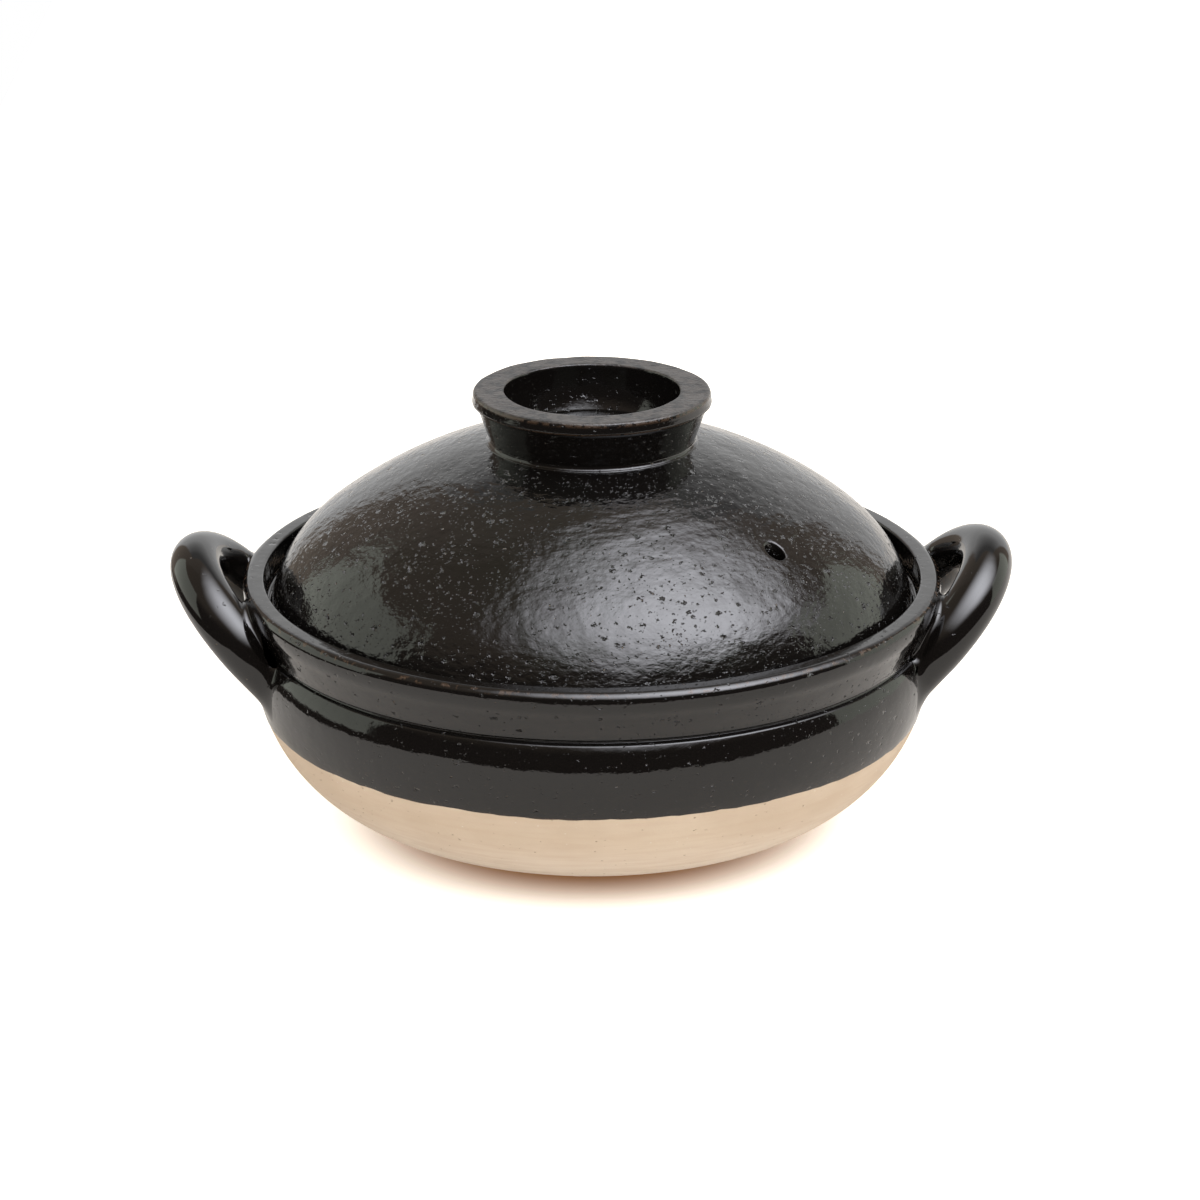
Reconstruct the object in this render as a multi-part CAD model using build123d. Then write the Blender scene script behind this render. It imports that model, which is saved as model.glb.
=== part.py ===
from build123d import *
import os
from math import cos, radians, sin, sqrt

# A donabe: a lidded clay pot for cooking over a flame. The pot is a thrown bowl of bare clay with
# a glaze coat outside and one inside, and two clay loops stuck to its wall as handles. The lid is
# a thrown dome with a ring-shaped knob on its crown, and a steam hole through its side. The lid
# rests by its own weight on a bare ledge inside the pot's collar.
# Sizes are millimetres. The origin is the centre of the flat foot, +Z is up, and the handles
# stand out along +X and -X. Outlines are half sections: the first number is the distance from
# the axis, the second the height.

# Bowl, outside
collar_diameter = 262.0
lip_height = 97.4
lip_thickness = 8.0
lip_inner_round = 1.0
lip_outer_round = 3.2
lip_swell_height = 6.0
lip_swell = 1.2
collar_lean = 5.9
collar_foot_rise = 0.5
collar_height = 22.3
groove_width = 0.9
groove_depth = 7.1
groove_corner_rise = 0.4
shoulder_edge_setback = 5.7
shoulder_setback = 3.3
shoulder_drop = 10.1
foot_diameter = 124.0
turn_out_share = 0.471
turn_up_share = 0.172

# Bowl, inside
wall = 8.5
floor_radius_share = 0.74
seat_depth = 11.4
seat_corner_radius = 1.5
ledge_width = 13.5
ledge_nose_height = 3.8
ledge_nose_width = 2.2
ledge_nose_return = 0.9

# Glaze on the bowl
glaze_thickness = 0.5
glaze_line_drop = 18.5
seat_glaze_width = 3.0

# Lid
lid_gap = 2.85
lid_rise = 66.3
lid_wall = 7.0
lid_turn_out_share = 0.8465
lid_turn_up_share = 0.466
lid_edge_height = 3.2
lid_edge_round = 1.4
lid_rim_width = 7.5

# Steam hole
steam_hole_diameter = 7.2
steam_hole_offset = 90.0
steam_hole_angle = -44.85

# Knob
knob_diameter = 89.2
knob_rise = 14.9
knob_neck_setback = 1.4
knob_foot_diameter = 76.0
knob_band_height = 4.4
knob_band_lean = 0.4
knob_undercut_drop = 0.6
knob_edge_round = 1.6
hollow_diameter = 64.6
hollow_rim_round = 1.2
hollow_floor_diameter = 56.0

# Handles
handle_bar_diameter = 19.8
handle_spread = 70.0
handle_leg = 9.1
handle_tilt = 48.5
handle_root_rise = 2.5
handle_flare_diameter = 24.0
handle_flare_length = 8.5
mid_wall_share = 0.75

# Cutters run this far past what they cut
overrun = 6.0

collar_radius = collar_diameter / 2
shoulder_radius = collar_radius - shoulder_setback
foot_radius = foot_diameter / 2
groove_height = lip_height - collar_height
shoulder_height = groove_height - shoulder_drop
glaze_line_height = shoulder_height - glaze_line_drop
handle_root_height = shoulder_height + handle_root_rise
collar_inner_radius = collar_radius - lip_thickness
seat_height = lip_height - seat_depth
ledge_inner_radius = collar_inner_radius - ledge_width
lid_edge_radius = collar_inner_radius - lid_gap
crown_height = seat_height + lid_rise
steam_hole_place = Vector(
    steam_hole_offset * cos(radians(steam_hole_angle)),
    steam_hole_offset * sin(radians(steam_hole_angle)),
)


def section(*edges):
    """A closed outline as a face standing in the XZ plane, on the +X side of the axis."""
    return Plane.XZ * make_face(edges)


def turned(face):
    """The solid that a half section sweeps round the axis."""
    return revolve(face, axis=Axis.Z)


def inward(point, tangent, distance):
    """The point that lies at a distance to the right of a direction of travel."""
    return point + Vector(tangent.Y, -tangent.X).normalized() * distance


def under(edges, depth):
    """A chain of edges moved into the clay, which lies to the right of its travel."""
    first, last = edges[0], edges[-1]
    corners = [inward(first @ 0, first % 0, depth)]
    for edge, following in zip(edges, edges[1:]):
        corners.append(inward(edge @ 1, edge % 1 + following % 0, depth))
    corners.append(inward(last @ 1, last % 1, depth))
    moved = []
    for edge, start, end in zip(edges, corners, corners[1:]):
        if edge.geom_type == GeomType.LINE:
            moved.append(Line(start, end))
        else:
            moved.append(TangentArc(start, end, tangent=edge % 0))
    return moved


def skin(edges):
    """The half section of a glaze coat: what lies between a chain of edges and the clay under it."""
    buried = under(edges, glaze_thickness)
    return section(
        *edges,
        Line(edges[-1] @ 1, buried[-1] @ 1),
        *buried,
        Line(buried[0] @ 0, edges[0] @ 0),
    )


# Points of the bowl that both its outside and its inside use
foot_edge = Vector(foot_radius, 0)
shoulder_point = Vector(shoulder_radius, shoulder_height)
turn_point = Vector(
    foot_radius + turn_out_share * (shoulder_radius - foot_radius),
    turn_up_share * shoulder_height,
)
belly_arc = TangentArc(shoulder_point, turn_point, tangent=(0, -1))
belly_width = shoulder_radius - turn_point.X
belly_drop = shoulder_height - turn_point.Y
belly_radius = (belly_width**2 + belly_drop**2) / (2 * belly_width)
glaze_line_point = Vector(
    shoulder_radius - belly_radius + sqrt(belly_radius**2 - glaze_line_drop**2),
    glaze_line_height,
)
glazed_belly = TangentArc(shoulder_point, glaze_line_point, tangent=(0, -1))
seat_glaze_end = Vector(collar_inner_radius - seat_glaze_width, seat_height)
inner_shoulder = Vector(shoulder_radius - wall, shoulder_height)
inner_turn = inward(turn_point, belly_arc % 1, wall)
ledge_nose_under = Vector(ledge_inner_radius + ledge_nose_return, seat_height - ledge_nose_height)


def glazed_outside():
    """The glazed outer surface, from the back of the ledge over the lip down to the glaze line."""
    corner_start = Vector(collar_inner_radius - seat_corner_radius, seat_height)
    corner_top = Vector(collar_inner_radius, seat_height + seat_corner_radius)
    lip_in = Vector(collar_inner_radius, lip_height - lip_inner_round)
    lip_crest = Vector(collar_inner_radius + lip_inner_round, lip_height)
    lip_turn = Vector(collar_radius - lip_outer_round, lip_height)
    lip_out = Vector(collar_radius, lip_height - lip_outer_round)
    shoulder_edge = Vector(collar_radius - shoulder_edge_setback, groove_height)
    groove_low = Vector(collar_radius - groove_depth, groove_height + groove_corner_rise)
    groove_high = groove_low + Vector(0, groove_width)
    wall_foot = Vector(collar_radius - collar_lean, groove_high.Y + collar_foot_rise)
    wall_top = lip_out - Vector(lip_swell, lip_swell_height)
    shoulder_top = TangentArc(shoulder_point, shoulder_edge, tangent=(0, 1))
    groove = TangentArc(groove_low, groove_high, tangent=groove_low - shoulder_edge)
    swell = TangentArc(wall_top, lip_out, tangent=wall_top - wall_foot)
    return [
        Line(seat_glaze_end, corner_start),
        TangentArc(corner_start, corner_top, tangent=(1, 0)),
        Line(corner_top, lip_in),
        TangentArc(lip_in, lip_crest, tangent=(0, 1)),
        Line(lip_crest, lip_turn),
        TangentArc(lip_turn, lip_out, tangent=(1, 0)),
        TangentArc(lip_out, wall_top, tangent=-(swell % 1)),
        Line(wall_top, wall_foot),
        Line(wall_foot, groove_high),
        TangentArc(groove_high, groove_low, tangent=-(groove % 1)),
        Line(groove_low, shoulder_edge),
        TangentArc(shoulder_edge, shoulder_point, tangent=-(shoulder_top % 1)),
        glazed_belly,
    ]


def bare_underside():
    """The bare outer surface, from the glaze line down to the edge of the foot."""
    return [
        TangentArc(glaze_line_point, turn_point, tangent=glazed_belly % 1),
        TangentArc(turn_point, foot_edge, tangent=belly_arc % 1),
    ]


def glazed_inside():
    """The cooking surface, from the middle of the floor up to under the ledge's nose."""
    floor_edge = Vector(foot_radius * floor_radius_share, wall)
    inner_belly = TangentArc(inner_shoulder, inner_turn, tangent=(0, -1))
    inner_underside = TangentArc(inner_turn, floor_edge, tangent=inner_belly % 1)
    return [
        Line((0, wall), floor_edge),
        TangentArc(floor_edge, inner_turn, tangent=-(inner_underside % 1)),
        TangentArc(inner_turn, inner_shoulder, tangent=-(inner_belly % 1)),
        TangentArc(inner_shoulder, ledge_nose_under, tangent=(0, 1)),
    ]


def bare_seat():
    """The flat ledge that the lid rests on, from its nose out to the glaze behind it."""
    nose_start = Vector(ledge_inner_radius + ledge_nose_width, seat_height)
    return [
        TangentArc(nose_start, ledge_nose_under, tangent=(-1, 0)),
        Line(nose_start, seat_glaze_end),
    ]


def clay_section():
    """The clay of the bowl, with room for its glaze coats."""
    outside = under(glazed_outside(), glaze_thickness)
    inside = under(glazed_inside(), glaze_thickness)
    return section(
        Line((0, 0), foot_edge),
        *bare_underside(),
        Line(glaze_line_point, outside[-1] @ 1),
        *outside,
        Line(outside[0] @ 0, seat_glaze_end),
        *bare_seat(),
        Line(ledge_nose_under, inside[-1] @ 1),
        *inside,
        Line(inside[0] @ 0, (0, 0)),
    )


def handle_loop():
    """The right handle as one bent bar, still running on into the wall at both roots."""
    root = Vector(shoulder_radius - wall, 0, handle_root_height)
    outward = Vector(cos(radians(handle_tilt)), 0, sin(radians(handle_tilt)))
    across = Vector(0, 1, 0)
    half_spread = handle_spread / 2
    near_root = root - across * half_spread
    far_root = root + across * half_spread
    near_bend = near_root + outward * handle_leg
    far_bend = far_root + outward * handle_leg
    crown = root + outward * (handle_leg + half_spread)
    path = Wire(
        [Line(near_root, near_bend), ThreePointArc(near_bend, crown, far_bend), Line(far_bend, far_root)]
    )
    bar = sweep(Plane(near_root, z_dir=outward) * Circle(handle_bar_diameter / 2), path=path)
    for start in (near_root, far_root):
        flare = Cone(
            handle_flare_diameter / 2,
            handle_bar_diameter / 2,
            handle_flare_length,
            align=(Align.CENTER, Align.CENTER, Align.MIN),
        )
        bar += Plane(start, z_dir=outward) * flare
    return bar


def pot_pieces():
    """The bowl, its two glaze coats and its two handles."""
    bowl = turned(clay_section())
    right_loop = handle_loop()
    left_loop = mirror(right_loop, about=Plane.YZ)
    outer_glaze = turned(skin(glazed_outside())) - right_loop - left_loop
    # The loops end where they meet the clay, so what runs on into the wall and the bowl goes
    inside_radius = shoulder_radius - wall * mid_wall_share
    inside = Pos(0, 0, lip_height / 2) * Cylinder(inside_radius, lip_height)
    return {
        "bowl": bowl,
        "outer_glaze": outer_glaze,
        "inner_glaze": turned(skin(glazed_inside())),
        "handle_right": right_loop - bowl - inside,
        "handle_left": left_loop - bowl - inside,
    }


# Points of the lid that its outside, its inside and the knob use
lid_turn = Vector(lid_turn_out_share * lid_edge_radius, seat_height + lid_turn_up_share * lid_rise)
crown_arc = TangentArc((0, crown_height), lid_turn, tangent=(1, 0))


def crown_surface_height(distance):
    """Height of the lid's crown at a distance from the axis."""
    drop = crown_height - lid_turn.Y
    radius = (lid_turn.X**2 + drop**2) / (2 * drop)
    return crown_height - radius + sqrt(radius**2 - distance**2)


def lid_outside_edges():
    """The lid's outer surface, from the crown down to the rim that sits on the ledge."""
    edge_top = Vector(lid_edge_radius, seat_height + lid_edge_height)
    round_top = Vector(lid_edge_radius, seat_height + lid_edge_round)
    round_end = Vector(lid_edge_radius - lid_edge_round, seat_height)
    return [
        crown_arc,
        TangentArc(lid_turn, edge_top, tangent=crown_arc % 1),
        Line(edge_top, round_top),
        TangentArc(round_top, round_end, tangent=(0, -1)),
    ]


def dome():
    """The lid's thrown dome, with the steam hole straight down through its side."""
    round_end = Vector(lid_edge_radius - lid_edge_round, seat_height)
    rim_in = Vector(lid_edge_radius - lid_rim_width, seat_height)
    inner_crown = Vector(0, crown_height - lid_wall)
    inner_lid_turn = inward(lid_turn, crown_arc % 1, lid_wall)
    inner_crown_arc = TangentArc(inner_crown, inner_lid_turn, tangent=(1, 0))
    shell = turned(
        section(
            *lid_outside_edges(),
            Line(round_end, rim_in),
            TangentArc(inner_lid_turn, rim_in, tangent=inner_crown_arc % 1),
            inner_crown_arc,
            Line(inner_crown, (0, crown_height)),
        )
    )
    steam_hole = Cylinder(
        steam_hole_diameter / 2, lid_rise, align=(Align.CENTER, Align.CENTER, Align.MIN)
    )
    return shell - Pos(steam_hole_place.X, steam_hole_place.Y, seat_height) * steam_hole


def dome_filled():
    """Everything under the lid's outer surface."""
    round_end = Vector(lid_edge_radius - lid_edge_round, seat_height)
    return turned(
        section(
            *lid_outside_edges(),
            Line(round_end, (0, seat_height)),
            Line((0, seat_height), (0, crown_height)),
        )
    )


def knob():
    """The ring on the crown: a flat-topped band on a neck that narrows down to the dome."""
    top = crown_height + knob_rise
    band_radius = knob_diameter / 2
    band_low = Vector(band_radius, top - knob_band_height)
    neck = Vector(band_radius - knob_neck_setback, band_low.Y - knob_undercut_drop)
    foot = Vector(knob_foot_diameter / 2, crown_surface_height(knob_foot_diameter / 2))
    band_high = Vector(band_radius - knob_band_lean, top - knob_edge_round)
    top_out = Vector(band_high.X - knob_edge_round, top)
    hollow_high = Vector(hollow_diameter / 2, top - hollow_rim_round)
    top_in = Vector(hollow_high.X + hollow_rim_round, top)
    floor_radius = hollow_floor_diameter / 2
    hollow_low = Vector(floor_radius, crown_surface_height(floor_radius))
    sunk_in = hollow_low - Vector(0, overrun)
    sunk_out = foot - Vector(0, overrun)
    ring = turned(
        section(
            Line(sunk_out, foot),
            Line(foot, neck),
            Line(neck, band_low),
            Line(band_low, band_high),
            TangentArc(top_out, band_high, tangent=(1, 0)),
            Line(top_out, top_in),
            TangentArc(top_in, hollow_high, tangent=(-1, 0)),
            TangentArc(hollow_high, hollow_low, tangent=(0, -1)),
            Line(hollow_low, sunk_in),
            Line(sunk_in, sunk_out),
        )
    )
    return ring - dome_filled()


def lid_pieces():
    """The dome and the knob on its crown."""
    return {"lid_dome": dome(), "lid_knob": knob()}


os.makedirs("parts", exist_ok=True)
for name, piece in {**pot_pieces(), **lid_pieces()}.items():
    export_step(piece, f"parts/{name}.step")
    print(name, "solids", len(piece.solids()), "volume", round(piece.volume))
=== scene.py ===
# %% [markdown]
# # A clay pot for the table flame
# A donabe is thrown on the wheel from a coarse, sandy clay that can stand in a flame. The pot and its
# domed lid are turned shapes, two rolled loops of clay are stuck to the wall as handles, and a black
# glaze covers all but the belly, the foot and the seat of the lid. This lesson turns the same shapes
# in Blender with bmesh, finishes them with procedural glaze and clay, and lights them as in a small
# photo studio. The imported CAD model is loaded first: it is the frame, and every piece stays inside it.

# %% Load the frame
from math import atan2, ceil, cos, pi, radians, sin, sqrt

import bmesh
import bpy
from bmesh.types import BMEdge, BMVert
from mathutils import Matrix, Vector, noise
from mathutils.bvhtree import BVHTree


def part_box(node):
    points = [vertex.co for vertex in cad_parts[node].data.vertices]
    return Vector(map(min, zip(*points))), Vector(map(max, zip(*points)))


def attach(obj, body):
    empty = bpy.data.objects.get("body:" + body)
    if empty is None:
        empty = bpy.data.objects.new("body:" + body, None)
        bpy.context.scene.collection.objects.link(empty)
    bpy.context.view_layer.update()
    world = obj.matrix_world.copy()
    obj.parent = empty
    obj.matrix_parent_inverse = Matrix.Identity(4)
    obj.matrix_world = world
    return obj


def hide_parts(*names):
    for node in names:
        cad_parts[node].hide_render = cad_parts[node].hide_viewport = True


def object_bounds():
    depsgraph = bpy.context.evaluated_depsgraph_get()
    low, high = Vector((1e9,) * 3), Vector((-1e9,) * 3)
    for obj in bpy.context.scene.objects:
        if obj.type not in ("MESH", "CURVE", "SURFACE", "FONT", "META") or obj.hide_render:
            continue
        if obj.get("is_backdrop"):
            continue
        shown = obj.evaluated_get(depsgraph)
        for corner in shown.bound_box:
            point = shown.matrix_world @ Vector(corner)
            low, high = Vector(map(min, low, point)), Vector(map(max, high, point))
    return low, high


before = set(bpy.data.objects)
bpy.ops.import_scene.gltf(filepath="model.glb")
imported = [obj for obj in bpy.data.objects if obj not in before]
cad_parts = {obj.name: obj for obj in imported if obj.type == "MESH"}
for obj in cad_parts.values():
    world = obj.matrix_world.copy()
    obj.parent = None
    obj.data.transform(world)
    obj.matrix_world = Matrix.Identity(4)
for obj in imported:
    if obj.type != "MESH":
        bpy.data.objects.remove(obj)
box_at_load = [list(corner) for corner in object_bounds()]
mm = 0.001

# %% [markdown]
# ## Sizes
# The overall sizes are read from the frame, so that a new pack moves them by itself. The thickness of
# a lip or a bar has no box of its own, so it is written here, as it is in the CAD model.

# %% Read the main sizes from the frame
coat_low, coat_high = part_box("outer_glaze")
lid_low, lid_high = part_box("lid_dome")
knob_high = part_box("lid_knob")[1]
collar_radius = coat_high[0]
lip_height = coat_high[2]
glaze_line_height = coat_low[2]
seat_height = lid_low[2]
lid_radius = lid_high[0]
crown_height = lid_high[2]
knob_radius = knob_high[0]
knob_top = knob_high[2]
print(f"collar {2 * collar_radius / mm:.1f} mm across, lip at {lip_height / mm:.1f} mm")
print(f"lid {2 * lid_radius / mm:.1f} mm across, knob top at {knob_top / mm:.1f} mm")

# %% [markdown]
# ## Drawing a half outline
# A turned shape is a half outline swept round the axis. The outline is drawn with a pen: the spin
# operator sweeps one vertex along an arc, and an extruded vertex makes a straight run. Every arc
# leaves in the direction in which the pen last moved, as a potter's curve does, unless the pen is
# turned first at a corner.

# %% A pen that draws lines and arcs in the XZ plane
outline_step = 2.0 * mm


def only(kind, parts):
    """The vertices or the edges among some parts of a mesh."""
    return [part for part in parts if isinstance(part, kind)]


class Pen:
    """Draws a half outline: points are (distance from the axis, height), in metres."""

    def __init__(self, distance, height, across, up, step=outline_step):
        self.mesh = bmesh.new()
        self.tip = self.mesh.verts.new((distance, 0, height))
        self.step = step
        self.turn(across, up)

    def turn(self, across, up):
        """Points the pen another way, for a corner."""
        self.heading = Vector((across, 0, up)).normalized()

    def line(self, distance, height):
        """A straight run, cut into short edges."""
        start = self.tip.co.copy()
        run = Vector((distance, 0, height)) - start
        pieces = max(1, ceil(run.length / self.step))
        for number in range(pieces):
            made = bmesh.ops.extrude_vert_indiv(self.mesh, verts=[self.tip])
            self.tip = made["verts"][0]
            self.tip.co = start + run * ((number + 1) / pieces)
        self.heading = run.normalized()

    def arc(self, distance, height, steps=None):
        """An arc that leaves along the heading and ends at the point."""
        chord = Vector((distance, 0, height)) - self.tip.co
        side = Vector((self.heading.z, 0, -self.heading.x))
        reach = chord.dot(side)
        if abs(reach) < 1e-3 * chord.length:
            self.line(distance, height)
            return
        radius = chord.length_squared / (2 * reach)
        angle = 2 * atan2(reach, chord.dot(self.heading))
        steps = steps or max(2, ceil(abs(radius * angle) / self.step))
        made = bmesh.ops.spin(
            self.mesh,
            geom=[self.tip],
            cent=self.tip.co + side * radius,
            axis=(0, 1, 0),
            angle=angle,
            steps=steps,
        )
        self.tip = only(BMVert, made["geom_last"])[0]
        self.heading = Matrix.Rotation(angle, 3, "Y") @ self.heading

    def arc_arriving(self, distance, height, across, up, steps=None):
        """An arc that arrives at the point in the given direction."""
        chord = (Vector((distance, 0, height)) - self.tip.co).normalized()
        arriving = Vector((across, 0, up)).normalized()
        self.heading = 2 * arriving.dot(chord) * chord - arriving
        self.arc(distance, height, steps)


print("outline step", outline_step / mm, "mm")

# %% [markdown]
# ## From outline to object
# One full spin about the Z axis closes the surface, with its seam merged and its pole welded. The
# normals are worked out once, while the mesh is whole, and the faces are shaded smooth.

# %% Sweep an outline round the axis and make objects
turn_steps = 256
weld = 0.002 * mm


def swept(pen, steps=turn_steps):
    """Sweeps the pen's outline round the axis and welds the seam, the corners and the pole."""
    mesh = pen.mesh
    bmesh.ops.remove_doubles(mesh, verts=mesh.verts[:], dist=weld)
    bmesh.ops.spin(
        mesh,
        geom=mesh.verts[:] + mesh.edges[:],
        cent=(0, 0, 0),
        axis=(0, 0, 1),
        angle=2 * pi,
        steps=steps,
        use_merge=True,
    )
    bmesh.ops.remove_doubles(mesh, verts=mesh.verts[:], dist=weld)
    bmesh.ops.recalc_face_normals(mesh, faces=mesh.faces[:])
    return mesh


def piece_from(mesh, name, body, node, material):
    """Makes an object that rides on a body and stands for a CAD node."""
    data = bpy.data.meshes.new(name)
    mesh.normal_update()
    mesh.to_mesh(data)
    mesh.free()
    data.shade_smooth()
    data.materials.append(material)
    piece = bpy.data.objects.new(name, data)
    bpy.context.scene.collection.objects.link(piece)
    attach(piece, body)
    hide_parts(node)
    print(name, len(data.polygons), "faces")


# %% [markdown]
# ## The wobble of the hand
# No thrown wall is true. A little noise, moved along the normals, makes the reflections waver as they
# do on the real pot. It only ever takes clay away, so that the lid still clears the collar.

# %% Move a surface by noise
def wobble(mesh, amount, size, seed=0.0):
    """Sinks every vertex along its normal by smooth noise, by up to the amount, in metres."""
    mesh.normal_update()
    shifts = []
    for vert in mesh.verts:
        place = vert.co / size + Vector((seed, seed, seed))
        share = min(1.0, max(0.0, 0.5 - 0.6 * noise.noise(place)))
        shifts.append(vert.normal * (-share * amount))
    for vert, shift in zip(mesh.verts, shifts):
        vert.co += shift
    print("moved", len(shifts), "points by up to", round(amount / mm, 2), "mm")


# %% [markdown]
# ## Small tools for materials
# A helper adds one node with its values and links, so that the finishes below read as recipes.

# %% Add nodes
def fill(tree, socket, value):
    """Links a socket, or sets its value."""
    if isinstance(value, bpy.types.NodeSocket):
        tree.links.new(value, socket)
    else:
        socket.default_value = value


def add(tree, kind, inputs=None, **settings):
    """Adds a node, sets its properties, and fills its inputs with values or links."""
    made = tree.nodes.new(kind)
    for name, value in settings.items():
        setattr(made, name, value)
    for name, value in (inputs or {}).items():
        fill(tree, made.inputs[name], value)
    return made


def sums(tree, operation, first, second=0.5, third=0.5):
    """One step of arithmetic."""
    return add(tree, "ShaderNodeMath", {0: first, 1: second, 2: third}, operation=operation).outputs[0]


def vectors(tree, operation, first, second):
    """One step of arithmetic on vectors. SCALE takes a number as its second value."""
    inputs = {0: first, "Scale" if operation == "SCALE" else 1: second}
    return add(tree, "ShaderNodeVectorMath", inputs, operation=operation).outputs[0]


def length(tree, vector):
    """Length of a vector."""
    return add(tree, "ShaderNodeVectorMath", {0: vector}, operation="LENGTH").outputs["Value"]


def split(tree, vector):
    """The parts of a vector, by the letters X, Y and Z."""
    return add(tree, "ShaderNodeSeparateXYZ", {"Vector": vector}).outputs


def joined(tree, x, y, z):
    """A vector from its three parts."""
    return add(tree, "ShaderNodeCombineXYZ", {"X": x, "Y": y, "Z": z}).outputs[0]


def ramp(tree, value, low, high):
    """A smooth step: 0 at the low value, 1 at the high one."""
    inputs = {"Value": value, "From Min": low, "From Max": high}
    return add(tree, "ShaderNodeMapRange", inputs, interpolation_type="SMOOTHSTEP").outputs["Result"]


def blend(tree, share, first, second):
    """Mixes two colours by a share."""
    made = add(tree, "ShaderNodeMix", data_type="RGBA")
    sockets = {socket.identifier: socket for socket in made.inputs}
    fill(tree, sockets["Factor_Float"], share)
    fill(tree, sockets["A_Color"], first)
    fill(tree, sockets["B_Color"], second)
    return [socket for socket in made.outputs if socket.identifier == "Result_Color"][0]


def stretched(tree, place, across, up):
    """Scales a place across and up."""
    return vectors(tree, "MULTIPLY", place, (across, across, up))


def off_axis(tree, place):
    """Distance of a place from the Z axis."""
    return length(tree, stretched(tree, place, 1, 0))


def speckle(tree, place, scale, detail=2.0):
    """Noise between 0 and 1. The scale is the number of features to the metre."""
    inputs = {"Vector": place, "Scale": scale, "Detail": detail}
    return add(tree, "ShaderNodeTexNoise", inputs).outputs["Fac"]


print("node helpers ready")

# %% [markdown]
# Effects that more than one finish needs are node groups, each built once.

# %% Make groups and materials
FLOAT, VECTOR = "NodeSocketFloat", "NodeSocketVector"


def group(name, inputs, outputs):
    """A new node group with named sockets. Gives the group, its inputs and its output node."""
    tree = bpy.data.node_groups.new(name, "ShaderNodeTree")
    for label, kind, value in inputs:
        socket = tree.interface.new_socket(label, in_out="INPUT", socket_type=kind)
        if value is not None:
            socket.default_value = value
    for label, kind in outputs:
        tree.interface.new_socket(label, in_out="OUTPUT", socket_type=kind)
    entry = tree.nodes.new("NodeGroupInput")
    leave = tree.nodes.new("NodeGroupOutput")
    return tree, entry.outputs, leave.inputs


def use(tree, name, inputs):
    """Places a node group in a tree."""
    made = tree.nodes.new("ShaderNodeGroup")
    made.node_tree = bpy.data.node_groups[name]
    for label, value in inputs.items():
        fill(tree, made.inputs[label], value)
    return made.outputs


def new_material(name):
    """A new material. Gives the material, its node tree and its shader."""
    made = bpy.data.materials.new(name)
    made.use_nodes = True
    return made, made.node_tree, made.node_tree.nodes["Principled BSDF"]


def raise_surface(tree, shader, height):
    """Bends the shader's normal by a height in metres."""
    bump = add(tree, "ShaderNodeBump", {"Height": height, "Distance": 1.0})
    tree.links.new(bump.outputs["Normal"], shader.inputs["Normal"])


print("group and material helpers ready")

# %% [markdown]
# ## Pits
# Coarse sand burns out or is dragged along by the turning tool, and leaves short pits in the clay that
# the glaze doesn't fill. Voronoi cells give one pit each: a random number per cell says whether there
# is one, and another how large it is. Places are stretched in height first, so that the pits are wider
# than high and lie along the turning direction. The spacing is in metres, and a pit's size is a share of it.

# %% The pits group
tree, given, result = group(
    "pits",
    [("Place", VECTOR, None), ("Spacing", FLOAT, 0.003), ("Share", FLOAT, 0.3),
     ("Size", FLOAT, 0.35), ("Flatten", FLOAT, 2.0), ("Seed", FLOAT, 0.0)],
    [("Pit", FLOAT), ("Grain", FLOAT)],
)
squeezed = vectors(tree, "MULTIPLY", given["Place"], joined(tree, 1.0, 1.0, given["Flatten"]))
moved = vectors(tree, "ADD", squeezed, joined(tree, given["Seed"], given["Seed"], given["Seed"]))
fineness = sums(tree, "DIVIDE", 1.0, given["Spacing"])
cells = add(tree, "ShaderNodeTexVoronoi", {"Vector": moved, "Scale": fineness})
chance = add(tree, "ShaderNodeSeparateColor", {"Color": cells.outputs["Color"]}).outputs
present = sums(tree, "LESS_THAN", chance["Red"], given["Share"])
reach = sums(tree, "MULTIPLY", given["Size"], sums(tree, "MULTIPLY_ADD", chance["Green"], 0.6, 0.4))
depth = sums(tree, "SUBTRACT", 1.0, ramp(tree, cells.outputs["Distance"], 0.0, reach))
pit = sums(tree, "MULTIPLY", depth, present)
tree.links.new(pit, result["Pit"])
tree.links.new(sums(tree, "MULTIPLY", pit, chance["Blue"]), result["Grain"])


def pitted(tree, place, spacing, share, size, flatten, seed):
    """Places pits of one size in a tree."""
    inputs = {"Place": place, "Spacing": spacing, "Share": share, "Size": size,
              "Flatten": flatten, "Seed": seed}
    return use(tree, "pits", inputs)


print("group pits")

# %% [markdown]
# ## Throwing rings
# Fingers and ribs leave fine rings round the axis. Noise that reads mostly the distance from the axis
# and the height gives rings that are even all the way round, and a slight drift keeps them from
# looking like a record.

# %% The rings group
tree, given, result = group(
    "rings", [("Place", VECTOR, None), ("Spacing", FLOAT, 0.002), ("Drift", FLOAT, 0.1)], [("Ring", FLOAT)]
)
parts = split(tree, given["Place"])
along = joined(
    tree,
    sums(tree, "ADD", off_axis(tree, given["Place"]), parts["Z"]),
    sums(tree, "MULTIPLY", parts["X"], given["Drift"]),
    sums(tree, "MULTIPLY", parts["Y"], given["Drift"]),
)
ringed = speckle(tree, along, sums(tree, "DIVIDE", 1.0, given["Spacing"]))
tree.links.new(ringed, result["Ring"])
print("group rings")

# %% [markdown]
# ## Thin glaze on edges
# Glaze runs off sharp edges while it melts, and the thin film left there fires brown. On a turned
# piece each edge is a circle, so a group that measures the distance to a circle finds it.

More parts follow.
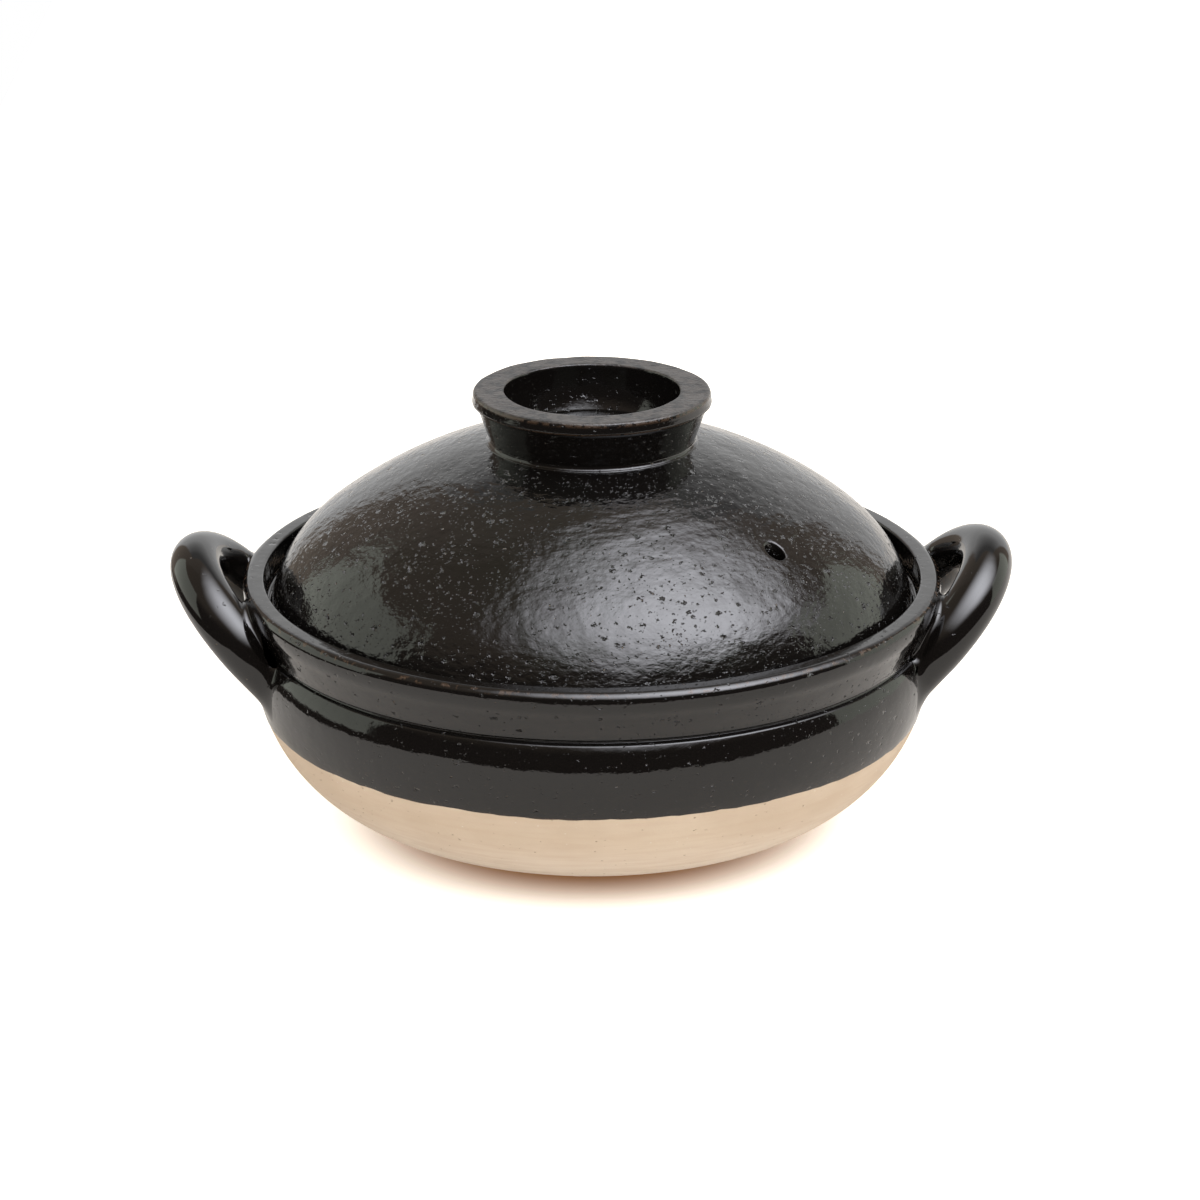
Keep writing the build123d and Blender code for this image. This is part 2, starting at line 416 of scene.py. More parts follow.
# %% The edge group
tree, given, result = group(
    "edge",
    [("Place", VECTOR, None), ("Radius", FLOAT, 0.1), ("Height", FLOAT, 0.1), ("Reach", FLOAT, 0.001)],
    [("Near", FLOAT)],
)
sideways = sums(tree, "SUBTRACT", off_axis(tree, given["Place"]), given["Radius"])
upwards = sums(tree, "SUBTRACT", split(tree, given["Place"])["Z"], given["Height"])
distance = length(tree, joined(tree, sideways, upwards, 0.0))
near = sums(tree, "SUBTRACT", 1.0, ramp(tree, distance, 0.0, given["Reach"]))
tree.links.new(near, result["Near"])
print("group edge")

# %% [markdown]
# ## The glaze surface
# All the glazed pieces share one relief: a slow wave in the glaze, fine rings in patches, dimples over
# sand grains, and three sizes of pits, the two larger ones with ragged outlines. Its outputs are a height
# in metres for a Bump node, and a mask of the pits where a bare grain shows.

# %% The glaze relief group
tree, given, result = group(
    "glaze_relief",
    [("Place", VECTOR, None), ("Wave", FLOAT, 0.0001), ("Rings", FLOAT, 0.00001),
     ("Dimples", FLOAT, 0.0001), ("Pits", FLOAT, 0.0003), ("Pit Share", FLOAT, 0.3)],
    [("Height", FLOAT), ("Grain", FLOAT)],
)
place = given["Place"]
patchy = ramp(tree, speckle(tree, place, 38.0), 0.36, 0.66)
wave = sums(tree, "MULTIPLY", speckle(tree, place, 70.0), given["Wave"])
ring = use(tree, "rings", {"Place": place, "Spacing": 2.6 * mm, "Drift": 0.2})
ringed = sums(tree, "MULTIPLY", ring["Ring"], sums(tree, "MULTIPLY_ADD", patchy, -0.7, 1.0))
relief = sums(tree, "MULTIPLY_ADD", ringed, given["Rings"], wave)
lying = stretched(tree, place, 1.0, 1.7)
relief = sums(tree, "MULTIPLY_ADD", speckle(tree, lying, 330.0, 3.0), given["Dimples"], relief)
jitter = add(tree, "ShaderNodeTexNoise", {"Vector": place, "Scale": 800.0, "Detail": 2.0})
ragged = vectors(tree, "ADD", place, vectors(tree, "SCALE", jitter.outputs["Color"], 2.6 * mm))
share = sums(tree, "MULTIPLY", given["Pit Share"], sums(tree, "MULTIPLY_ADD", patchy, 1.0, 0.7))
tiny = pitted(tree, place, 1.4 * mm, share, size=0.27, flatten=1.3, seed=2.0)
small = pitted(tree, ragged, 2.6 * mm, share, size=0.34, flatten=1.6, seed=3.0)
large = pitted(tree, ragged, 7.0 * mm, share, size=0.26, flatten=2.4, seed=5.0)
deep = sums(tree, "MULTIPLY_ADD", large["Pit"], 2.0, small["Pit"])
deep = sums(tree, "MULTIPLY_ADD", tiny["Pit"], 0.3, deep)
deep = sums(tree, "MULTIPLY", deep, given["Pits"])
tree.links.new(sums(tree, "SUBTRACT", relief, deep), result["Height"])
grained = sums(tree, "MAXIMUM", tiny["Grain"], small["Grain"])
tree.links.new(grained, result["Grain"])
print("group glaze_relief")

# %% [markdown]
# ## Black glaze
# The glaze is an iron glass, black where it is thick and brown where it is thin. Its gloss is the
# plain gloss of glass, so the shader keeps a glass-like IOR and a low roughness, and the relief does
# the rest. Grains of bare sand show in the bottoms of the pits.

# %% A maker of glaze materials
black = (0.0045, 0.0038, 0.0034, 1)
brown = (0.05, 0.028, 0.015, 1)
grain = (0.2, 0.15, 0.1, 1)
scoured = (0.05, 0.042, 0.036, 1)


def glaze(name, wave, rings, dimples, pits, pit_share, roughness=0.07, edges=(), worn=None):
    """A glossy glaze, with its relief in metres. Edges are circles where it is thin, each as (distance
    from the axis, height, reach, how unbroken), and it is scoured dull at the height worn."""
    made, tree, shader = new_material(name)
    shader.inputs["IOR"].default_value = 1.52
    place = add(tree, "ShaderNodeTexCoord").outputs["Object"]
    relief = use(tree, "glaze_relief", {"Place": place, "Wave": wave, "Rings": rings,
                                        "Dimples": dimples, "Pits": pits, "Pit Share": pit_share})
    thin = 0.0
    chipping = speckle(tree, place, 380.0, 3.0)
    for distance, height, reach, whole in edges:
        near = use(tree, "edge", {"Place": place, "Radius": distance, "Height": height, "Reach": reach})
        broken = ramp(tree, chipping, 0.7 - whole, 0.8 - whole)
        thin = sums(tree, "MAXIMUM", thin, sums(tree, "MULTIPLY", near["Near"], broken))
    showing = ramp(tree, relief["Grain"], 0.6, 0.85)
    colour = blend(tree, thin, black, brown)
    colour = blend(tree, showing, colour, grain)
    dull = sums(tree, "MULTIPLY_ADD", showing, 0.3, roughness)
    dull = sums(tree, "MULTIPLY_ADD", thin, 0.25, dull)
    height = relief["Height"]
    if worn:
        scour = ramp(tree, split(tree, place)["Z"], worn - 1.0 * mm, worn - 0.2 * mm)
        patches = ramp(tree, speckle(tree, place, 260.0, 4.0), 0.35, 0.6)
        colour = blend(tree, sums(tree, "MULTIPLY", scour, patches), colour, scoured)
        dull = sums(tree, "MULTIPLY_ADD", scour, 0.32, dull)
        coarse = sums(tree, "MULTIPLY", speckle(tree, place, 700.0, 4.0), scour)
        height = sums(tree, "MULTIPLY_ADD", coarse, 0.35 * mm, height)
    tree.links.new(colour, shader.inputs["Base Color"])
    tree.links.new(dull, shader.inputs["Roughness"])
    raise_surface(tree, shader, height)
    return made


glaze_line_edge = (125 * mm, glaze_line_height, 1.2 * mm, 0.4)
lip_edge = (collar_radius - 1 * mm, lip_height - 1.6 * mm, 1.6 * mm, 0.16)
knob_band = 4.4 * mm
knob_rim_edge = (knob_radius - 0.4 * mm, knob_top - 0.8 * mm, 1.3 * mm, 0.3)
knob_band_edge = (knob_radius, knob_top - knob_band, 0.6 * mm, 0.35)

lid_black = glaze(
    "lid_black", wave=0.5 * mm, rings=0.4 * mm, dimples=0.2 * mm, pits=0.36 * mm, pit_share=0.8
)
collar_black = glaze(
    "collar_black", wave=0.3 * mm, rings=0.02 * mm, dimples=0.05 * mm, pits=0.25 * mm, pit_share=0.25,
    roughness=0.06, edges=[glaze_line_edge, lip_edge],
)
handle_black = glaze(
    "handle_black", wave=0.1 * mm, rings=0.0, dimples=0.01 * mm, pits=0.1 * mm, pit_share=0.05,
    roughness=0.06,
)
inner_black = glaze(
    "inner_black", wave=0.2 * mm, rings=0.04 * mm, dimples=0.04 * mm, pits=0.15 * mm, pit_share=0.2,
    roughness=0.09,
)
knob_black = glaze(
    "knob_black", wave=0.14 * mm, rings=0.01 * mm, dimples=0.08 * mm, pits=0.2 * mm, pit_share=0.5,
    roughness=0.09, worn=knob_top, edges=[knob_rim_edge, knob_band_edge],
)
print("glazes made")

# %% [markdown]
# ## Bare clay
# Below the glaze line the clay is bare: beige and sandy, with darker streaks from turning, small brown
# pits and a few white grains. It is fully matt. Towards the foot its colour is painted paler, a painted
# light for the light that the white table throws up on it.

# %% The bare clay material
clay_dark = (0.65, 0.515, 0.38, 1)
clay_light = (0.73, 0.595, 0.45, 1)
# Painted light: the pale colour painted on the clay near the foot.
painted_floor_bounce = (0.93, 0.82, 0.7, 1)
clay_streak = (0.63, 0.47, 0.34, 1)
hole_brown = (0.25, 0.14, 0.07, 1)
grain_white = (0.85, 0.8, 0.72, 1)


def bare_clay():
    """Sandy, unglazed clay."""
    made, tree, shader = new_material("sandy_clay")
    shader.inputs["Roughness"].default_value = 0.85
    shader.inputs["Specular IOR Level"].default_value = 0.25
    place = add(tree, "ShaderNodeTexCoord").outputs["Object"]
    cloud = ramp(tree, speckle(tree, place, 25.0, 3.0), 0.3, 0.7)
    ring = use(tree, "rings", {"Place": place, "Spacing": 3.5 * mm, "Drift": 0.15})
    streak = sums(tree, "MULTIPLY", ramp(tree, ring["Ring"], 0.35, 0.75), 0.35)
    colour = blend(tree, cloud, clay_dark, clay_light)
    # Painted light: the clay is painted paler towards the foot, for the light the white table throws up on
    # it.
    painted_bounce_share = sums(tree, "SUBTRACT", 1.0, ramp(tree, split(tree, place)["Z"], 8 * mm, 40 * mm))
    colour = blend(tree, sums(tree, "MULTIPLY", painted_bounce_share, 0.9), colour, painted_floor_bounce)
    colour = blend(tree, streak, colour, clay_streak)
    holes = pitted(tree, place, 3.6 * mm, 0.6, size=0.2, flatten=2.0, seed=4.0)
    whites = pitted(tree, place, 3.6 * mm, 0.5, size=0.16, flatten=1.2, seed=6.0)
    colour = blend(tree, sums(tree, "MULTIPLY", holes["Pit"], 0.8), colour, hole_brown)
    colour = blend(tree, sums(tree, "MULTIPLY", whites["Pit"], 0.8), colour, grain_white)
    tree.links.new(colour, shader.inputs["Base Color"])
    height = sums(tree, "MULTIPLY", speckle(tree, place, 900.0, 3.0), 0.12 * mm)
    height = sums(tree, "MULTIPLY_ADD", ring["Ring"], 0.1 * mm, height)
    height = sums(tree, "MULTIPLY_ADD", holes["Pit"], -0.4 * mm, height)
    raise_surface(tree, shader, height)
    return made


sandy = bare_clay()
print("clay made")

# %% [markdown]
# ## The bowl's outline
# The bowl has a flat foot, a round belly, a groove under a leaning collar, and a rounded lip. Inside,
# a flat ledge carries the lid. The clay and its glaze coats repeat the same outline at different
# depths, so one function draws the collar and one the cooking side, each sunk by a depth.

# %% Named sizes of the bowl
foot_radius = 62 * mm
lip_thickness = 8 * mm
lip_inner_round = 1 * mm
lip_outer_round = 3.2 * mm
shoulder_radius = collar_radius - 3.3 * mm
shoulder_height = lip_height - 32.4 * mm
edge_radius = collar_radius - 5.7 * mm
edge_height = lip_height - 22.3 * mm
edge_round = 0.6 * mm
groove_radius = collar_radius - 7.1 * mm
groove_low = edge_height + 0.4 * mm
groove_high = groove_low + 0.9 * mm
wall_foot_radius = collar_radius - 5.9 * mm
wall_foot_height = groove_high + 0.5 * mm
wall_foot_round = 0.5 * mm
wall_top_radius = collar_radius - 1.2 * mm
wall_top_height = lip_height - 9.2 * mm
lip_side_height = lip_height - lip_outer_round
lip_turn_radius = collar_radius - lip_outer_round
collar_inner_radius = collar_radius - lip_thickness
lip_crest_radius = collar_inner_radius + lip_inner_round
seat_corner = 1.5 * mm
seat_glaze_radius = collar_inner_radius - 3 * mm
wall = 8.5 * mm
ledge_radius = collar_inner_radius - 13.5 * mm
nose_radius = ledge_radius + 0.9 * mm
nose_height = seat_height - 3.8 * mm
nose_round = 2.2 * mm
floor_radius = 0.74 * foot_radius

# The belly is one arc down to the turn, and a flatter one from there to the foot
turn = Vector((foot_radius + 0.471 * (shoulder_radius - foot_radius), 0, 0.172 * shoulder_height))
belly_width = shoulder_radius - turn.x
belly_drop = shoulder_height - turn.z
belly_bend = (belly_width**2 + belly_drop**2) / (2 * belly_width)
belly_centre = Vector((shoulder_radius - belly_bend, 0, shoulder_height))
turn_out = (turn - belly_centre).normalized()
inner_turn = turn - turn_out * wall
line_drop = shoulder_height - glaze_line_height
glaze_line_radius = belly_centre.x + sqrt(belly_bend**2 - line_drop**2)
print(f"belly bends at {belly_bend / mm:.1f} mm, glaze line {glaze_line_radius / mm:.1f} mm out")

# %% [markdown]
# The pen takes the same depth off every point, so that clay and coat keep one form. In the narrow
# groove the clay is sunk twice as deep, so that no pale strip of it comes through the coat.

# %% Draw the collar and the cooking side
def draw_collar(pen, sunk):
    """From the shoulder up over the groove, the wall and the lip, and down to the back of the ledge."""
    pen.turn(0, 1)
    pen.arc(edge_radius - sunk, edge_height - edge_round - sunk)
    pen.arc(edge_radius - edge_round - sunk, edge_height - sunk, steps=5)
    pen.line(groove_radius - 2 * sunk, groove_low - sunk)
    pen.arc(groove_radius - 2 * sunk, groove_high + sunk, steps=5)
    pen.line(wall_foot_radius - 0.4 * mm - sunk, wall_foot_height - 0.1 * mm + sunk)
    pen.arc(wall_foot_radius - sunk, wall_foot_height + wall_foot_round + sunk, steps=4)
    pen.line(wall_top_radius - sunk, wall_top_height)
    pen.arc(collar_radius - sunk, lip_side_height)
    pen.turn(0, 1)
    pen.arc(lip_turn_radius, lip_height - sunk, steps=14)
    pen.line(lip_crest_radius, lip_height - sunk)
    pen.arc(collar_inner_radius + sunk, lip_height - lip_inner_round, steps=6)
    pen.line(collar_inner_radius + sunk, seat_height + seat_corner)
    pen.arc(collar_inner_radius - seat_corner, seat_height - sunk, steps=5)
    pen.line(seat_glaze_radius, seat_height - sunk)


def draw_cooking_side(pen, sunk):
    """From under the ledge's nose down the inner wall and across the floor to the axis."""
    sunk_turn = inner_turn + turn_out * sunk
    pen.arc_arriving(shoulder_radius - wall + sunk, shoulder_height, 0, -1)
    pen.arc(sunk_turn.x, sunk_turn.z)
    pen.arc(floor_radius, wall - sunk)
    pen.line(0, wall - sunk)


print("bowl outline ready")

# %% [markdown]
# ## The clay bowl
# The clay body is closed all round. Under the coats it lies a little deeper than they reach, and its
# bare belly lies a hair's breadth inside the glaze, because the glaze is a raised coat on it. A rim
# thrown by hand is never quite level, so this one dips a little towards the front.

# %% Turn the clay bowl
coat_depth = 0.55 * mm
clay_step = 0.3 * mm
rim_dip = 1 * mm


def turned_clay():
    """The body of the bowl, with the bare belly and the bare ledge."""
    pen = Pen(0, 0, 1, 0)
    sunk_turn = turn - turn_out * clay_step
    pen.line(foot_radius, 0)
    pen.arc_arriving(sunk_turn.x, sunk_turn.z, -turn_out.z, turn_out.x)
    pen.arc_arriving(shoulder_radius - clay_step, shoulder_height, 0, 1)
    draw_collar(pen, clay_step)
    pen.line(seat_glaze_radius, seat_height)
    pen.line(ledge_radius + nose_round, seat_height)
    pen.arc(nose_radius, nose_height, steps=8)
    draw_cooking_side(pen, clay_step)
    return swept(pen)


def lower_front(mesh):
    """Lets the rim dip towards the front, and leaves everything below the ledge as it is."""
    for vert in mesh.verts:
        fade = min(1.0, max(0.0, (vert.co.z - seat_height - 1 * mm) / (4 * mm)))
        front = 0.5 - 0.5 * vert.co.y / collar_radius
        vert.co.z -= rim_dip * front * fade


clay = turned_clay()
lower_front(clay)
clay_tree = BVHTree.FromBMesh(clay)
piece_from(clay, "clay_bowl", "pot", "bowl", sandy)

# %% [markdown]
# ## The outer glaze coat
# The coat starts at the glaze line, where it ends in a soft, wavering edge, and runs over the groove,
# the collar and the lip to the back of the ledge, under the lid's edge. It is a thin closed shell whose
# inner side is sunk into the clay.

# %% Turn the outer coat
coat_step = 1.6 * mm
coat_edge_depth = 0.2 * mm
coat_bulge = 0.12 * mm
coat_edge_rise = 0.35 * mm
inside_lip = 1.4 * mm
inside_groove = groove_radius - 0.9 * mm - coat_depth


def turned_outer_coat():
    """A closed shell of glaze from the glaze line over the lip."""
    belly_in = Vector((glaze_line_radius, 0, glaze_line_height)) - belly_centre
    start = belly_centre + belly_in * (1 - coat_depth / belly_bend)
    pen = Pen(start.x, start.z, 1, 0, step=coat_step)
    edge = belly_centre + belly_in * (1 - coat_edge_depth / belly_bend)
    pen.line(edge.x, edge.z)
    pen.arc_arriving(glaze_line_radius + coat_bulge, glaze_line_height + coat_edge_rise, 0.3, 1, steps=4)
    pen.arc_arriving(shoulder_radius, shoulder_height, 0, 1)
    draw_collar(pen, 0)
    pen.line(seat_glaze_radius, seat_height - coat_depth)
    pen.line(collar_inner_radius + coat_depth, seat_height - coat_depth)
    pen.line(collar_inner_radius + coat_depth, lip_height - 1.8 * mm)
    pen.line(lip_crest_radius + 0.5 * mm, lip_height - inside_lip)
    pen.line(lip_turn_radius - 0.5 * mm, lip_height - inside_lip)
    pen.line(collar_radius - coat_depth - 0.6 * mm, lip_side_height)
    pen.line(wall_top_radius - coat_depth, wall_top_height)
    pen.line(wall_foot_radius - coat_depth, wall_foot_height + wall_foot_round)
    pen.line(inside_groove, groove_high)
    pen.line(inside_groove, groove_low)
    pen.line(edge_radius - 1.5 * mm, edge_height - 1.2 * mm)
    pen.arc_arriving(shoulder_radius - coat_depth, shoulder_height, 0, -1)
    pen.arc(start.x, start.z)
    return swept(pen)


coat = turned_outer_coat()
print("outer coat", len(coat.faces), "faces")

# %% [markdown]
# The pot is dipped upside down by hand, so the glaze line isn't level. Three sizes of noise round the
# axis lift the coat's lowest few millimetres, and the rim's dip is the same as the clay's.

# %% Let the lower edge waver
edge_waver = 0.6 * mm
edge_reach = 4 * mm
for vert in coat.verts:
    fade = 1 - (vert.co.z - glaze_line_height) / edge_reach
    if fade > 0:
        place = Vector((vert.co.x, vert.co.y, 0)).normalized()
        lift = noise.noise(place * 5) + 0.6 * noise.noise(place * 19) + 0.3 * noise.noise(place * 60)
        vert.co.z += (lift + 0.5) * edge_waver * min(1.0, fade)
lower_front(coat)
wobble(coat, 0.18 * mm, 22 * mm, seed=4.0)
piece_from(coat, "outer_coat", "pot", "outer_glaze", collar_black)

# %% [markdown]
# ## The inner glaze coat
# The cooking side is glazed from under the ledge's nose to the middle of the floor. It shows only when
# the lid is lifted.

# %% Turn the inner coat
def turned_inner_coat():
    """A closed shell of glaze on the cooking side."""
    deep_turn = inner_turn + turn_out * coat_depth
    pen = Pen(0, wall - coat_depth, 1, 0)
    pen.line(floor_radius, wall - coat_depth)
    pen.arc_arriving(deep_turn.x, deep_turn.z, -turn_out.z, turn_out.x)
    pen.arc_arriving(shoulder_radius - wall + coat_depth, shoulder_height, 0, 1)
    pen.arc(nose_radius + coat_depth, nose_height)
    pen.line(nose_radius, nose_height)
    draw_cooking_side(pen, 0)
    return swept(pen)


piece_from(turned_inner_coat(), "inner_coat", "pot", "inner_glaze", inner_black)

# %% [markdown]
# ## The handles
# Each handle is a rolled bar of clay, bent to a half circle and pressed on to the wall, and the joint
# is smoothed with a wet finger. A ring of vertices is spun through the middle of the half circle, and
# each end is extruded ring by ring down to the wall, where the rings lean over until they lie on it and
# widen into the smoothed joint.

# %% Named sizes of a handle
bar_radius = 9.8 * mm
half_spread = 35 * mm
leg = 9.1 * mm
tilt = radians(48.5)
root = Vector((shoulder_radius - wall, 0, shoulder_height + 2.5 * mm))
outward = Vector((cos(tilt), 0, sin(tilt)))
across = Vector((0, 1, 0))
upward = outward.cross(across)
bend_centre = root + outward * leg
joint_round = 3.2 * mm
bar_sides = 72
first_bend = 0.75
bend_start = leg + half_spread * first_bend
print("the loop starts", round(bend_start / mm, 1), "mm from the root")

# %% [markdown]
# A point on the bar's skin is given by its way along the bar and its angle round it. Strides down the bar
# find about where the skin meets the wall, and halving the last stride again and again finds it exactly.

# %% Place a point on the bar and find the wall
stride = 1.5 * mm
deepest = -12 * mm
halvings = 9


def on_bar(side, around, run, grow=0.0):
    """A point on the bar's skin: side is -1 or 1, run is the way along the bar from its root."""
    theta = max(0.0, run - leg) / half_spread
    spread = across * side * cos(theta) + outward * sin(theta)
    centre = bend_centre + spread * half_spread + outward * min(0.0, run - leg)
    return centre + (spread * cos(around) + upward * sin(around)) * (bar_radius + grow)


def clearance(point):
    """Distance of a point from the glazed wall, negative inside it."""
    nearest, normal, _, distance = clay_tree.find_nearest(point)
    return (distance if (point - nearest).dot(normal) > 0 else -distance) - clay_step


def run_at(side, around, grow, height):
    """How far along the bar its skin first comes down to a height over the wall."""
    high = bend_start
    low = high - stride
    while low > deepest and clearance(on_bar(side, around, low, grow)) > height:
        high, low = low, low - stride
    for _ in range(halvings):
        middle = (low + high) / 2
        if clearance(on_bar(side, around, middle, grow)) > height:
            high = middle
        else:
            low = middle
    return high


# %% [markdown]
# The rings go straight down the bar until it nears the wall. There they open out in a quarter turn, as
# wet clay does under a finger, and the last ring is buried, so that no open edge shows.

# %% Lay the rings of a joint
bar_rings = 20
joint_steps = 8
joint_skirt = 0.5 * mm
joint_buried = 0.25 * mm


def settled(point, height):
    """Moves a point to a height over the nearest glazed wall."""
    nearest, normal = clay_tree.find_nearest(point)[:2]
    return nearest + normal * (clay_step + height)


def joint_rings(side, angles):
    """The places of all the vertices, ring by ring down the bar and out on to the wall."""
    touch = [run_at(side, angle, 0.0, joint_round) for angle in angles]
    rings = []
    for number in range(1, bar_rings + 1):
        share = number / bar_rings
        runs = [bend_start + (stop - bend_start) * share for stop in touch]
        rings.append([on_bar(side, angle, run) for angle, run in zip(angles, runs)])
    for number in range(1, joint_steps + 2):
        turned = min(number, joint_steps) / joint_steps * pi / 2
        grow = joint_round * (1 - cos(turned))
        height = joint_round * (1 - sin(turned))
        if number > joint_steps:
            grow, height = grow + joint_skirt, -joint_buried
        ring = [on_bar(side, angle, run_at(side, angle, grow, height), grow) for angle in angles]
        rings.append([settled(point, height) for point in ring])
    return rings


print("a joint has", bar_rings + joint_steps + 1, "rings")

# %% [markdown]
# The mesh grows from the middle of the bend, where every ring is an even circle, to both roots. The
# left handle is the mirror image of the right one.

# %% Build the right handle and mirror it
bend_steps = 56


def extruded(mesh, edges):
    """Extrudes a ring of edges in place. Gives the new vertices and the new ring."""
    made = bmesh.ops.extrude_edge_only(mesh, edges=edges)["geom"]
    verts = set(only(BMVert, made))
    edges = only(BMEdge, made)
    return verts, [edge for edge in edges if edge.verts[0] in verts and edge.verts[1] in verts]


def handle_mesh():
    """The right handle: a bent bar with two smoothed joints."""
    mesh = bmesh.new()
    around = mesh.verts.layers.int.new("around")
    angles = [2 * pi * number / bar_sides for number in range(bar_sides)]
    bmesh.ops.create_circle(mesh, segments=bar_sides, radius=bar_radius)
    for number, vert in enumerate(mesh.verts):
        vert[around] = number
        vert.co = on_bar(-1, angles[number], bend_start)
    first = mesh.edges[:]
    made = bmesh.ops.spin(
        mesh,
        geom=mesh.verts[:] + mesh.edges[:],
        cent=bend_centre,
        axis=upward,
        angle=pi - 2 * first_bend,
        steps=bend_steps,
    )
    last = only(BMEdge, made["geom_last"])
    spread = across * cos(first_bend) + outward * sin(first_bend)
    for vert in only(BMVert, made["geom_last"]):
        offset = vert.co - bend_centre - spread * half_spread
        turned = atan2(offset.dot(upward), offset.dot(spread))
        vert[around] = round(turned / (2 * pi) * bar_sides) % bar_sides
    for edges, side in ((first, -1), (last, 1)):
        for ring in joint_rings(side, angles):
            verts, edges = extruded(mesh, edges)
            for vert in verts:
                vert.co = ring[vert[around]]
    bmesh.ops.holes_fill(mesh, edges=[edge for edge in mesh.edges if edge.is_boundary])
    bmesh.ops.recalc_face_normals(mesh, faces=mesh.faces[:])
    return mesh


handle = handle_mesh()
wobble(handle, 0.4 * mm, 24 * mm, seed=2.0)
mirrored = handle.copy()
bmesh.ops.scale(mirrored, vec=(-1, 1, 1), verts=mirrored.verts[:])
bmesh.ops.recalc_face_normals(mirrored, faces=mirrored.faces[:])
piece_from(handle, "right_handle", "pot", "handle_right", handle_black)
piece_from(mirrored, "left_handle", "pot", "handle_left", handle_black)

# %% [markdown]
# ## The lid
# The lid is a dome with a wall of even thickness and a small flat rim that sits on the ledge. A steam
# hole goes straight down through its side.

# %% Turn the dome
lid_wall = 7 * mm
lid_turn = Vector((0.8465 * lid_radius, 0, seat_height + 0.466 * (crown_height - seat_height)))
lid_edge_height = 3.2 * mm
lid_edge_round = 1.4 * mm
rim_radius = lid_radius - 7.5 * mm
lid_steps = 320
crown_drop = crown_height - lid_turn.z
crown_bend = (lid_turn.x**2 + crown_drop**2) / (2 * crown_drop)


def on_crown(distance):
    """Height of the crown's outer surface at a distance from the axis."""
    return crown_height - crown_bend + sqrt(crown_bend**2 - distance**2)


def turned_lid():
    """The dome, from the crown down over the rim and back up inside."""
    pen = Pen(0, crown_height, 1, 0)
    pen.arc(lid_turn.x, lid_turn.z)
    along = pen.heading.copy()
    pen.arc(lid_radius, seat_height + lid_edge_height)
    pen.line(lid_radius, seat_height + lid_edge_round)
    pen.turn(0, -1)
    pen.arc(lid_radius - lid_edge_round, seat_height, steps=5)
    pen.line(rim_radius, seat_height)
    inner = lid_turn + Vector((along.z, 0, -along.x)) * lid_wall
    pen.arc_arriving(inner.x, inner.z, -along.x, -along.z)
    pen.arc_arriving(0, crown_height - lid_wall, -1, 0)
    return swept(pen, lid_steps)


dome = turned_lid()
wobble(dome, 0.25 * mm, 26 * mm, seed=7.0)
print("dome", len(dome.faces), "faces")

# %% [markdown]
# ## The steam hole
# The hole is pushed through the soft clay, so its edge is round. Faces near it are deleted, the ragged
# opening is extruded on to a circle that lies on the surface, a few more rings round the edge over, and
# the outer and inner rings are bridged.

# %% Open the steam hole
hole_angle = radians(-44.85)
hole_distance = 90 * mm
hole_place = Vector((hole_distance * cos(hole_angle), hole_distance * sin(hole_angle), 0))
hole_radius = 3.6 * mm
hole_round = 0.7 * mm
hole_steps = 5
hole_margin = 1.2 * mm


def open_hole(mesh):
    """Cuts the steam hole with rounded edges."""
    surface = BVHTree.FromBMesh(mesh)
    mesh.normal_update()
    clear = hole_radius + hole_round + hole_margin
    near = [face for face in mesh.faces if (face.calc_center_median() - hole_place).xy.length < clear]
    bmesh.ops.delete(mesh, geom=near, context="FACES")
    loose = [edge for edge in mesh.edges if edge.is_boundary]
    ends = []
    for up in (1, -1):
        edges = [edge for edge in loose if edge.link_faces[0].normal.z * up > 0]
        for number in range(hole_steps + 1):
            verts, edges = extruded(mesh, edges)
            swing = number / hole_steps * pi / 2
            ring_radius = hole_radius + hole_round * (1 - sin(swing))
            for vert in verts:
                flat = Vector((vert.co.x, vert.co.y, 0)) - hole_place
                flat = hole_place + flat.normalized() * ring_radius
                above = Vector((flat.x, flat.y, 0.2 if up > 0 else 0.05))
                hit = surface.ray_cast(above, Vector((0, 0, -up)))[0]
                vert.co = hit - Vector((0, 0, up)) * hole_round * (1 - cos(swing))
        ends += edges
    bmesh.ops.bridge_loops(mesh, edges=ends)
    bmesh.ops.recalc_face_normals(mesh, faces=mesh.faces[:])


open_hole(dome)
piece_from(dome, "lid_shell", "lid", "lid_dome", lid_black)

# %% [markdown]
# ## The ring knob
# The knob is a thrown ring on the crown. Its flat top is where the lid stands when it is laid upside
# down, its outer band overhangs a narrower neck, and its hollow ends on the crown.

# %% Turn the knob
knob_step = 1.2 * mm
knob_sunk = 2 * mm
neck_foot = knob_radius - 6.6 * mm
neck_top = knob_radius - 1.4 * mm
neck_flare = neck_foot + 1.6 * mm
neck_fillet = 1.8 * mm
band_low = knob_top - knob_band
band_slope = 0.6 * mm
band_lean = 0.4 * mm
band_round = 1.6 * mm
hollow_radius = knob_radius - 12.3 * mm
hollow_round = 1.2 * mm
hollow_floor = 28 * mm


